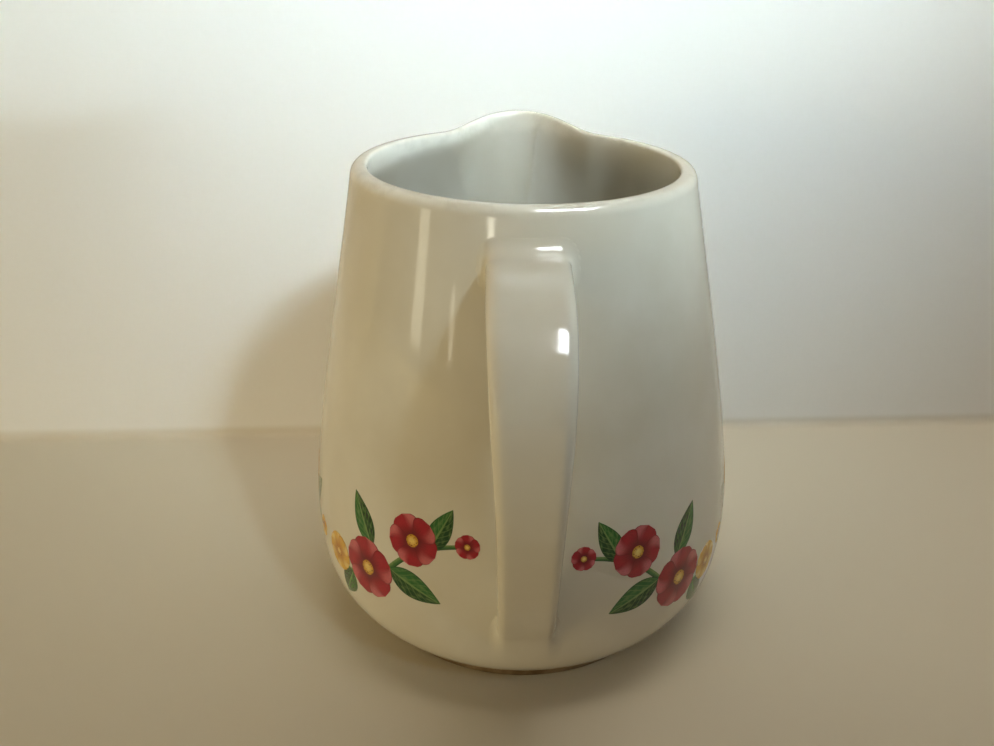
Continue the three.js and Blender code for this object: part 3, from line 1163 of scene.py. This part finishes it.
@dataclass
class Handle:
    """Strap that leaves the neck level, turns down and lands on the belly, with its slip smoothed out.

    Width and thickness are given at the neck and at the belly. The taper runs between two shares of the
    length. A fillet starts at its first distance off the wall and runs out along it by its second.
    """

    bowl: Bowl
    reach: float = 60 * MM
    arm_drop: float = 6.6 * MM
    knee_drop: float = 27 * MM
    landing_drop: float = 13.5 * MM
    landing_depth: float = 4.5 * MM
    landing_out: float = 7 * MM
    arm_ease: float = 20 * MM
    knee_ease: float = 12 * MM
    strap_ease: float = 20 * MM
    landing_ease: float = 18 * MM
    width: Pair = (13.2 * MM, 10 * MM)
    thickness: Pair = (5.6 * MM, 4.6 * MM)
    taper: Pair = (0.13, 0.64)
    corner: float = 2.1 * MM
    arm_fillet: Pair = (3 * MM, 1.9 * MM)
    landing_fillet: Pair = (2 * MM, 2 * MM)
    side_fillet: Pair = (1.6 * MM, 1.4 * MM)
    sink: float = 0.006 * MM
    buried: float = 5 * MM
    root: float = 1.5 * MM
    flat_side: float = 5 * MM
    steps: int = 60
    curve_points: int = 200
    corner_steps: int = 4
    side_cuts: int = 4

    def centre_line(self) -> list[Vector]:
        """Draws the strap's middle, from behind the neck's face to behind the belly's.

        Returns:
            Points at even distances.
        """

        def at(out: float, height: float) -> Vector:
            """A point of the side view."""
            return self.bowl.axis + Vector((0, -out, height))

        arm = self.bowl.rim_height - self.arm_drop - self.thickness[0] / 2
        start = self.bowl.radius(arm) - self.buried
        knee = self.bowl.rim_height - self.knee_drop
        out = self.reach - self.thickness[0] / 2
        landing = self.bowl.belly_height - self.landing_drop
        end = self.bowl.radius(landing)
        upper = interpolate_bezier(
            at(start, arm),
            at(start + self.arm_ease, arm),
            at(out, knee + self.knee_ease),
            at(out, knee),
            self.curve_points,
        )
        lower = interpolate_bezier(
            at(out, knee),
            at(out, knee - self.strap_ease),
            at(end + self.landing_out, landing + self.landing_ease),
            at(end - self.landing_depth, landing),
            self.curve_points,
        )
        return evenly([*upper, *lower[1:]], self.steps)

    def section(self, share: float) -> Pair:
        """The strap's width and thickness at a share of its length."""
        narrow = smoothstep(share, *self.taper)
        return lerp(*self.width, narrow), lerp(*self.thickness, narrow)

    def model(self) -> Piece:
        """Makes the strap as one section drawn along its middle line.

        Returns:
            The strap, whose ends still run into the wall.
        """
        line = self.centre_line()
        width, thickness = self.section(0)
        strap = Bench.start(
            "strap_handle",
            bpy.ops.mesh.primitive_plane_add,
            size=1,
            location=line[0],
            rotation=(math.pi / 2, 0, 0),
        )
        Bench.edit(strap)
        bpy.ops.transform.resize(value=(width, 1, thickness), center_override=line[0])
        bpy.ops.mesh.bevel(offset=self.corner, segments=self.corner_steps, affect="VERTICES")
        self._divide_flat_sides(strap)
        bpy.ops.mesh.select_all(action="SELECT")
        bpy.ops.mesh.select_mode(type="FACE")
        turned = 0.0
        for step, (before, point) in enumerate(pairwise(line), start=1):
            ahead = line[min(step + 1, len(line) - 1)]
            along = ahead - before
            lean = math.atan2(-along.z, -along.y)
            wide, thick = self.section(step / self.steps)
            bpy.ops.mesh.extrude_region_move(TRANSFORM_OT_translate={"value": point - before})
            Bench.turn("X", lean - turned, point)
            grow = thick / thickness
            bpy.ops.transform.resize(value=(wide / width, grow, grow), center_override=point)
            turned, width, thickness = lean, wide, thick
        Bench.done()
        Bench.face_out(strap)
        Bench.apply(strap, "SUBSURF", levels=2, render_levels=2)
        return strap

    def _divide_flat_sides(self, strap: Piece) -> None:
        """Divides the flat sides of the section, so that they can follow the wall.

        Args:
            strap: The section, in edit mode.
        """
        mesh = bmesh.from_edit_mesh(strap.data)
        bpy.ops.mesh.select_mode(type="EDGE")
        for edge in mesh.edges:
            edge.select_set(edge.calc_length() > self.flat_side)
        bmesh.update_edit_mesh(strap.data)
        bpy.ops.mesh.subdivide(number_cuts=self.side_cuts)

    def _settle(self, strap: Piece, wall: WallFace) -> None:
        """Runs the strap's ends out onto the wall in a fillet, and the rest of them into it.

        Args:
            strap: The strap.
            wall: The wall that it stands on.
        """
        normals = [Vector(n.vector) for n in strap.data.vertex_normals]
        for vertex, normal in zip(strap.data.vertices, normals, strict=True):
            _, up, off = wall.nearest(vertex.co)
            at_arm = vertex.co.z > (self.bowl.rim_height + self.bowl.belly_height) / 2
            main = self.arm_fillet if at_arm else self.landing_fillet
            face = math.sqrt(1 - min(1.0, normal.x**2))
            length = math.hypot(normal.x * self.side_fillet[0], face * main[0])
            if off >= length:
                continue
            near = max(-1.0, off / length)
            lifted = length / 4 * (1 + near) ** 2 - self.sink * (1 - near) / 2
            if off < -length:
                lifted = max(off + length, -self.root)
            sideways = normal - up * normal.dot(up)
            reach = Vector((self.side_fillet[1], main[1], main[1]))
            vertex.co += sideways * reach * ((1 - near) / 2) ** 2
            _, up, off = wall.nearest(vertex.co)
            vertex.co += up * (lifted - off)

    def build(self, finishes: Finishes, wall: WallFace) -> None:
        """Makes and dresses the handle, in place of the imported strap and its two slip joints.

        Args:
            finishes: The materials.
            wall: The wall that it stands on.
        """
        handle = self.model()
        self._settle(handle, wall)
        Bench.smooth(handle, degrees=40)
        handle.data.materials.append(finishes.glaze)
        settle_piece(handle, "cream_glaze", "handle", "upper_slip_joint", "lower_slip_joint")


# Sprays


@dataclass(frozen=True)
class Blade:
    """A flat printed shape: a grid whose rows are laid along a line, each at its own width."""

    rows: int
    columns: int
    look_ahead: float = 0.01

    def model(
        self,
        name: str,
        line: Callable[[float], Vector],
        width: Callable[[float], float],
    ) -> Piece:
        """Makes the shape in the XY plane.

        Args:
            name: The name of the object.
            line: The middle of the shape at a share of its length.
            width: The full width at a share of its length.

        Returns:
            The shape, with its map across it and along it.
        """
        blade = Bench.start(
            name,
            bpy.ops.mesh.primitive_grid_add,
            x_subdivisions=self.columns,
            y_subdivisions=self.rows,
            size=1,
        )
        Bench.edit(blade)
        for row in range(self.rows + 1):
            share = row / self.rows
            first = row * (self.columns + 1)
            Bench.pick(blade, lambda v, low=first: low <= v.index <= low + self.columns)
            self._lay_row(share, line, width(share))
        Bench.done()
        return blade

    def _lay_row(self, share: float, line: Callable[[float], Vector], width: float) -> None:
        """Moves the selected row of the grid to its place on the line.

        Args:
            share: The row's share of the shape's length.
            line: The middle of the shape at a share of its length.
            width: The row's full width.
        """
        row = Vector((0, share - 0.5, 0))
        middle = line(share)
        along = line(min(1.0, share + self.look_ahead)) - line(max(0.0, share - self.look_ahead))
        bpy.ops.transform.resize(value=(width, 1, 1), center_override=row)
        bpy.ops.transform.translate(value=middle - row)
        Bench.turn("Z", math.atan2(-along.x, along.y), middle)


class Layer(Enum):
    """How far each kind of shape stands off the glaze, in metres, so that one lies over another."""

    STEM = 0.02 * MM
    LEAF = 0.035 * MM
    PETAL = 0.05 * MM
    HEART = 0.085 * MM


@dataclass(frozen=True)
class Stem:
    """A stem along a curve, in steps of the sprig's grid."""

    start: Pair
    control: Pair
    end: Pair


@dataclass(frozen=True)
class Leaf:
    """A leaf from its stalk end to its tip, in steps of the sprig's grid."""

    stalk: Pair
    tip: Pair
    width: float


@dataclass(frozen=True)
class Blossom:
    """An open flower, in steps of the sprig's grid, with an ink of its own where it has one."""

    middle: Pair
    radius: float
    petals: int
    turn: float = 0.0
    ink: InkFinish | None = None


@dataclass(frozen=True)
class Sprig:
    """The drawing of one kind of spray."""

    name: str
    slot: str
    petal: InkFinish
    heart: InkFinish
    stems: tuple[Stem, ...]
    leaves: tuple[Leaf, ...]
    blossoms: tuple[Blossom, ...]
    petal_width: float


ROSE = Sprig(
    "rose",
    "crimson_enamel",
    Inks.CRIMSON,
    Inks.GOLD_HEART,
    (Stem((-14, -6), (-5, -9), (2, 0)), Stem((0.5, -2), (6, 5), (14, 6))),
    (
        Leaf((1, -1.4), (10.5, -5), 4.8),
        Leaf((-8.5, -6.8), (-12, -13), 4.2),
        Leaf((-3, 1), (-7.5, 9.5), 4.4),
        Leaf((8.5, 4.3), (12.5, 12), 3.8),
    ),
    (
        Blossom((-4, -3.5), 5.6, 5, 0.1),
        Blossom((5.5, 5.2), 4.6, 5, 0.5),
        Blossom((-13, -5), 3.6, 6, 0.3, Inks.YELLOW),
        Blossom((15, 6.2), 2.1, 5),
    ),
    1.2,
)
BUTTERCUP = Sprig(
    "buttercup",
    "yellow_enamel",
    Inks.YELLOW,
    Inks.BROWN_HEART,
    (Stem((-13, 4.5), (-2, 6.5), (2, -2)), Stem((1, 0), (6, -6.5), (14, -6.5))),
    (
        Leaf((-5.8, 4.6), (-3.8, 12.5), 4.2),
        Leaf((6.8, -4.8), (13, 2), 4.0),
        Leaf((-0.4, 1.4), (-9.8, -4.5), 4.4),
    ),
    (Blossom((2.8, -1), 5.6, 6, 0.2), Blossom((-10.5, 5), 3.4, 6), Blossom((14.6, -6.5), 2.0, 5)),
    1.0,
)
BUD = Sprig(
    "bud",
    "pink_enamel",
    Inks.PINK,
    Inks.GOLD_HEART,
    (Stem((-12, -4.4), (0, 6.6), (12, -3.4)),),
    (Leaf((-4.8, 0.3), (-8.2, 7.4), 3.8), Leaf((4.8, 0.7), (8.8, 7.4), 3.8)),
    (Blossom((0, 1.8), 4.2, 5, 0.3), Blossom((-12, -4.6), 2.4, 5), Blossom((12.2, -3.8), 2.4, 5)),
    1.15,
)


@dataclass(frozen=True)
class Spray:
    """One print on the wall.

    Its azimuth is in degrees round from the handle, its rise in steps above the belly, and its direction
    is -1 for a mirrored print.
    """

    node: str
    sprig: Sprig
    azimuth: float
    rise: float
    direction: int


SPRAYS = (
    Spray("rose_transfer_left", ROSE, -36.5, 5.5, 1),
    Spray("rose_transfer_right", ROSE, 36, 3.5, -1),
    Spray("buttercup_transfer_left", BUTTERCUP, -90, 7.5, 1),
    Spray("buttercup_transfer_right", BUTTERCUP, 88, 6.5, -1),
    Spray("bud_transfer_left", BUD, -135, 3.5, 1),
    Spray("bud_transfer_right", BUD, 134, 4.5, -1),
)


@dataclass
class Sprays:
    """The six printed sprays round the belly."""

    bowl: Bowl
    steps_round: int = 240
    film: float = 0.12 * MM
    stem_width: float = 1.0
    stem_taper: Pair = (1.05, 0.7)
    stem_blade: Blade = Blade(18, 2)
    leaf_blade: Blade = Blade(14, 6)
    leaf_skew: float = 0.8
    leaf_fullness: float = 0.9
    leaf_point: float = 0.02
    petal_blade: Blade = Blade(12, 8)
    petal_base: float = 0.16
    petal_spread: float = 0.75
    petal_roundness: int = 5
    petal_step: float = 0.004 * MM
    heart_share: float = 0.24
    heart_sides: int = 24

    def _leaf_width(self, share: float) -> float:
        """The width of a leaf at a share of its length, for a leaf 1 wide."""
        return math.sin(math.pi * share**self.leaf_skew) ** self.leaf_fullness + self.leaf_point

    def _petal_width(self, share: float) -> float:
        """The width of a petal at a share of its length, for a petal about 1 wide."""
        opened = lerp(self.petal_base, 1.0, smoothstep(share, 0.0, self.petal_spread))
        return opened * math.sqrt(max(0.0, 1 - share**self.petal_roundness))

    def patterns(self, sprig: Sprig, finishes: Finishes) -> dict[Figure, Piece]:
        """Models one leaf, one petal and one heart of a sprig.

        Args:
            sprig: The drawing.
            finishes: The materials.

        Returns:
            The shapes, each of length 1 from the origin along +Y, or of radius 1.
        """

        def upright(share: float) -> Vector:
            """A straight line of length 1."""
            return Vector((0, share, 0))

        made = {
            Figure.LEAF: self.leaf_blade.model("leaf", upright, self._leaf_width),
            Figure.PETAL: self.petal_blade.model(
                "petal",
                upright,
                lambda share: sprig.petal_width * self._petal_width(share),
            ),
            Figure.HEART: Bench.start(
                "heart",
                bpy.ops.mesh.primitive_circle_add,
                vertices=self.heart_sides,
                radius=1,
                fill_type="TRIFAN",
            ),
        }
        inks = {Figure.LEAF: Inks.LEAF, Figure.PETAL: sprig.petal, Figure.HEART: sprig.heart}
        for figure, pattern in made.items():
            pattern.data.materials.append(finishes.ink(inks[figure]))
        return made

    def draw(self, sprig: Sprig, finishes: Finishes) -> Piece:
        """Draws a sprig flat, in steps of its grid.

        Args:
            sprig: The drawing.
            finishes: The materials.

        Returns:
            The flat sprig, with its shapes laid over each other.
        """
        patterns = self.patterns(sprig, finishes)
        parts = [self._stem(stem, finishes) for stem in sprig.stems]
        parts.extend(self._leaf(leaf, patterns[Figure.LEAF]) for leaf in sprig.leaves)
        for blossom in sprig.blossoms:
            flower = self._blossom(blossom, patterns)
            if blossom.ink:
                for petal in flower[:-1]:
                    petal.data.materials[0] = finishes.ink(blossom.ink)
            parts.extend(flower)
        drawn = Bench.join(parts, sprig.name)
        for pattern in patterns.values():
            bpy.data.objects.remove(pattern)
        return drawn

    def _stem(self, stem: Stem, finishes: Finishes) -> Piece:
        """Draws a stem along its curve.

        Args:
            stem: The stem.
            finishes: The materials.

        Returns:
            The flat stem.
        """
        start, control, end = (
            Vector((*point, Layer.STEM.value)) for point in (stem.start, stem.control, stem.end)
        )

        def curve(share: float) -> Vector:
            """A point of the stem's curve."""
            return start.lerp(control, share).lerp(control.lerp(end, share), share)

        def width(share: float) -> float:
            """The stem's width, which shrinks along it."""
            return self.stem_width * lerp(*self.stem_taper, share)

        made = self.stem_blade.model("stem", curve, width)
        made.data.materials.append(finishes.ink(Inks.STEM))
        return made

    @staticmethod
    def _leaf(leaf: Leaf, pattern: Piece) -> Piece:
        """Lays a leaf from its stalk end to its tip.

        Args:
            leaf: The leaf.
            pattern: The leaf of length 1.

        Returns:
            The flat leaf.
        """
        stalk = Vector((*leaf.stalk, Layer.LEAF.value))
        along = Vector((*leaf.tip, Layer.LEAF.value)) - stalk
        turn = Matrix.Rotation(math.atan2(-along.x, along.y), 4, "Z")
        size = Matrix.Diagonal((leaf.width, along.length, 1, 1))
        return Bench.copy(pattern, Matrix.Translation(stalk) @ turn @ size)

    def _blossom(self, blossom: Blossom, patterns: dict[Figure, Piece]) -> list[Piece]:
        """Draws a flower of petals round a heart.

        Args:
            blossom: The flower.
            patterns: The petal and the heart of size 1.

        Returns:
            The petals and then the heart.
        """
        made = []
        size = Matrix.Diagonal((blossom.radius, blossom.radius, 1, 1))
        for petal in range(blossom.petals):
            turn = Matrix.Rotation(blossom.turn + 2 * math.pi * petal / blossom.petals, 4, "Z")
            height = Layer.PETAL.value + self.petal_step * petal
            lift = Matrix.Translation((*blossom.middle, height))
            made.append(Bench.copy(patterns[Figure.PETAL], lift @ turn @ size))
        heart = blossom.radius * self.heart_share
        lift = Matrix.Translation((*blossom.middle, Layer.HEART.value))
        made.append(Bench.copy(patterns[Figure.HEART], lift @ Matrix.Diagonal((heart, heart, 1, 1))))
        return made

    def _roll_on(self, printed: Piece, spray: Spray, wall: WallFace) -> None:
        """Rolls a flat sprig onto the wall.

        Args:
            printed: The flat sprig.
            spray: Where it goes.
            wall: The wall.
        """
        step = 2 * math.pi / self.steps_round
        for vertex in printed.data.vertices:
            turn = math.radians(spray.azimuth) + vertex.co.x * spray.direction * step
            height = self.bowl.belly_height + (spray.rise + vertex.co.y) * step * self.bowl.belly_radius
            out = self.bowl.radius(height)
            guess = self.bowl.axis + Vector((out * math.sin(turn), -out * math.cos(turn), height))
            foot, normal, _ = wall.nearest(guess)
            vertex.co = foot + normal * vertex.co.z

    def build(self, finishes: Finishes, wall: WallFace) -> None:
        """Makes and dresses the sprays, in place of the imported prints.

        Args:
            finishes: The materials.
            wall: The wall that they lie on.
        """
        for sprig in (ROSE, BUTTERCUP, BUD):
            drawn = self.draw(sprig, finishes)
            for spray in (s for s in SPRAYS if s.sprig is sprig):
                printed = Bench.copy(drawn, Matrix.Identity(4))
                printed.name = spray.node.replace("_transfer_", "_spray_")
                printed.data.name = printed.name
                self._roll_on(printed, spray, wall)
                if spray.direction < 0:
                    Bench.edit(printed)
                    bpy.ops.mesh.flip_normals()
                    Bench.done()
                Bench.apply(printed, "SOLIDIFY", thickness=self.film, offset=-1.0)
                Bench.smooth(printed, degrees=50)
                settle_piece(printed, sprig.slot, spray.node)
            bpy.data.objects.remove(drawn)


# Studio


@dataclass(frozen=True)
class Lamp:
    """A soft rectangular lamp.

    A lamp that isn't mirrored shows in no gloss, and one that doesn't light shows only in gloss.
    """

    name: str
    place: Triple
    target: Triple
    size: Pair
    power: float
    colour: Triple
    spread: float = 180.0
    mirrored: bool = True
    lights: bool = True

    def build(self) -> None:
        """Hangs the lamp and turns it to its target."""
        data = bpy.data.lights.new(self.name, "AREA")
        data.shape = "RECTANGLE"
        data.size, data.size_y = self.size
        data.energy = self.power
        data.spread = math.radians(self.spread)
        data.color = self.colour
        lamp = bpy.data.objects.new(self.name, data)
        bpy.context.scene.collection.objects.link(lamp)
        lamp.visible_glossy = self.mirrored
        lamp.visible_diffuse = self.lights
        lamp.location = self.place
        aim = Vector(self.target) - Vector(self.place)
        lamp.rotation_euler = aim.to_track_quat("-Z", "Y").to_euler()


LAMPS = (
    Lamp(
        "window_lamp",
        place=(0.42, -0.55, 0.75),
        target=(0.03, 0.08, 0.18),
        size=(0.16, 0.16),
        power=0.195,
        colour=(0.7, 0.89, 1.0),
        spread=19,
        mirrored=False,
    ),
    Lamp(
        "side_window",
        place=(0.8, -0.21, 0.14),
        target=(0, 0, 0.165),
        size=(0.15, 0.05),
        power=0.133,
        colour=(0.7, 0.88, 1.0),
        spread=14,
        mirrored=False,
    ),
    Lamp(
        "skylight",
        place=(0.25, -0.14, 0.8),
        target=(0.25, -0.14, 0),
        size=(0.36, 0.32),
        power=10.0,
        colour=(0.9, 0.97, 1.0),
        lights=False,
    ),
    Lamp(
        "backdrop_lamp",
        place=(0.1, -0.05, 0.6),
        target=(0.1, 0.08, 0.22),
        size=(0.4, 0.1),
        power=0.22,
        colour=(1.0, 0.93, 0.78),
        spread=70,
        mirrored=False,
    ),
    Lamp(
        "warm_fill",
        place=(-0.5, -0.3, 0.1),
        target=(0, 0, 0.08),
        size=(0.3, 0.15),
        power=0.95,
        colour=(1.0, 0.83, 0.46),
        mirrored=False,
    ),
    Lamp("left_strip", (-0.45, -0.23, 0.085), (0, 0, 0.08), (0.06, 0.11), 0.07, (1.0, 0.94, 0.7)),
    Lamp("far_strip", (-0.35, -0.4, 0.06), (0, 0, 0.07), (0.02, 0.05), 0.014, (1.0, 0.92, 0.68)),
    Lamp("near_strip", (-0.23, -0.62, 0.15), (0, 0, 0.09), (0.045, 0.09), 0.13, (1.0, 0.94, 0.75)),
)


@dataclass
class Studio:
    """Floor, backdrop, lamps and camera."""

    backdrop: float = 0.0765
    backdrop_turn: float = 1.8
    corner: float = 2 * MM
    corner_steps: int = 6
    sweep_size: float = 3.0
    sweep_height: float = 1.2
    floor_colour: Colour = srgb(210, 200, 179)
    wall_colour: Colour = srgb(240, 238, 233)
    tone_height: float = 4 * MM
    fibre_colour: Colour = srgb(180, 168, 150)
    fibre_scale: float = 900.0
    fibre_share: float = 0.05
    paper_roughness: float = 0.8
    paper_shine: float = 0.2
    room_low: Colour = (0.72, 0.4, 0.15, 1.0)
    room_high: Colour = (1.0, 0.68, 0.42, 1.0)
    room_rise: Pair = (0.0, 0.8)
    room_light: float = 0.08
    focal_pixels: float = 920.0
    camera_place: Triple = (-0.00488, -0.1583, 0.12806)
    camera_pitch: float = 25.0
    camera_roll: float = -0.18
    camera_near: float = 0.01

    def _paper(self) -> bpy.types.Material:
        """Builds matt paper, a little warmer on the floor, that can be seen through from behind.

        Returns:
            The material.
        """
        material, sheet = new_material("studio_paper")
        place = sheet.place()
        rise = sheet.remap(sheet.height(place), 0.0, self.tone_height)
        tone = sheet.mix(rise, self.floor_colour, self.wall_colour)
        fibres = sheet.times(sheet.noise(place, self.fibre_scale, 3.0), self.fibre_share)
        inputs = {
            "Base Color": sheet.mix(fibres, tone, self.fibre_colour),
            "Roughness": self.paper_roughness,
            "Specular IOR Level": self.paper_shine,
        }
        front = sheet.add("BsdfPrincipled", inputs).outputs["BSDF"]
        back = sheet.add("BsdfTransparent").outputs["BSDF"]
        behind = sheet.add("NewGeometry").outputs["Backfacing"]
        both = sheet.add("MixShader", {0: behind, 1: front, 2: back})
        sheet.add("OutputMaterial", {"Surface": both.outputs["Shader"]})
        return material

    def _sweep(self) -> None:
        """Lays the floor and turns its far edge up into the backdrop."""
        sweep = Bench.start(
            "studio_sweep",
            bpy.ops.mesh.primitive_plane_add,
            size=self.sweep_size,
            location=(0, self.backdrop - self.sweep_size / 2, 0),
        )
        Bench.edit(sweep)
        Bench.pick(sweep, lambda v: v.co.y > self.backdrop - MM)
        bpy.ops.mesh.extrude_edges_move(TRANSFORM_OT_translate={"value": (0, 0, self.sweep_height)})
        Bench.pick(sweep, lambda v: v.co.y > self.backdrop - MM and v.co.z < MM)
        bpy.ops.mesh.bevel(offset=self.corner, segments=self.corner_steps, affect="EDGES")
        bpy.ops.mesh.select_all(action="SELECT")
        Bench.turn("Z", math.radians(self.backdrop_turn), Vector((0, self.backdrop, 0)))
        Bench.done()
        Bench.smooth(sweep)
        sweep.data.materials.append(self._paper())

    def _world(self) -> None:
        """Gives the room an even, dim light."""
        world = bpy.data.worlds.new("room")
        bpy.context.scene.world = world
        world.use_nodes = True
        sheet = NodeSheet(world.node_tree)
        up = sheet.height(sheet.add("TexCoord").outputs["Generated"])
        tone = sheet.mix(sheet.remap(up, *self.room_rise), self.room_low, self.room_high)
        light = sheet.add("Background", {"Color": tone, "Strength": self.room_light})
        sheet.add("OutputWorld", {"Surface": light.outputs["Background"]})

    def _camera(self) -> None:
        """Sets the camera at the picture's viewpoint."""
        data = bpy.data.cameras.new("camera")
        data.sensor_width = SENSOR_WIDTH
        data.lens = SENSOR_WIDTH * self.focal_pixels / IMAGE_WIDTH
        data.clip_start = self.camera_near
        camera = bpy.data.objects.new("camera", data)
        bpy.context.scene.collection.objects.link(camera)
        pitch = Euler((math.radians(90 - self.camera_pitch), 0, 0)).to_matrix()
        roll = Matrix.Rotation(math.radians(self.camera_roll), 3, "Z")
        camera.matrix_world = Matrix.Translation(self.camera_place) @ (pitch @ roll).to_4x4()
        bpy.context.scene.camera = camera

    def build(self) -> None:
        """Sets up everything round the creamer."""
        self._sweep()
        self._world()
        for lamp in LAMPS:
            lamp.build()
        self._camera()
        bpy.context.scene.view_settings.view_transform = "Standard"


def main() -> None:
    """Builds the creamer's pieces in order and the studio round them."""
    logging.basicConfig(level=logging.INFO, format="%(name)s: %(message)s")
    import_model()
    low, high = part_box("foot_ring")
    axis = Vector((0, (low.y + high.y) / 2, 0))
    finishes = Finishes()
    shape = Bowl(axis)
    bowl = shape.build(finishes)
    wall = WallFace(bowl, axis)
    Foot(axis).build(finishes)
    Handle(shape).build(finishes, wall)
    Sprays(shape).build(finishes, wall)
    Studio().build()
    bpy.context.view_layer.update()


if __name__ == "__main__":
    main()
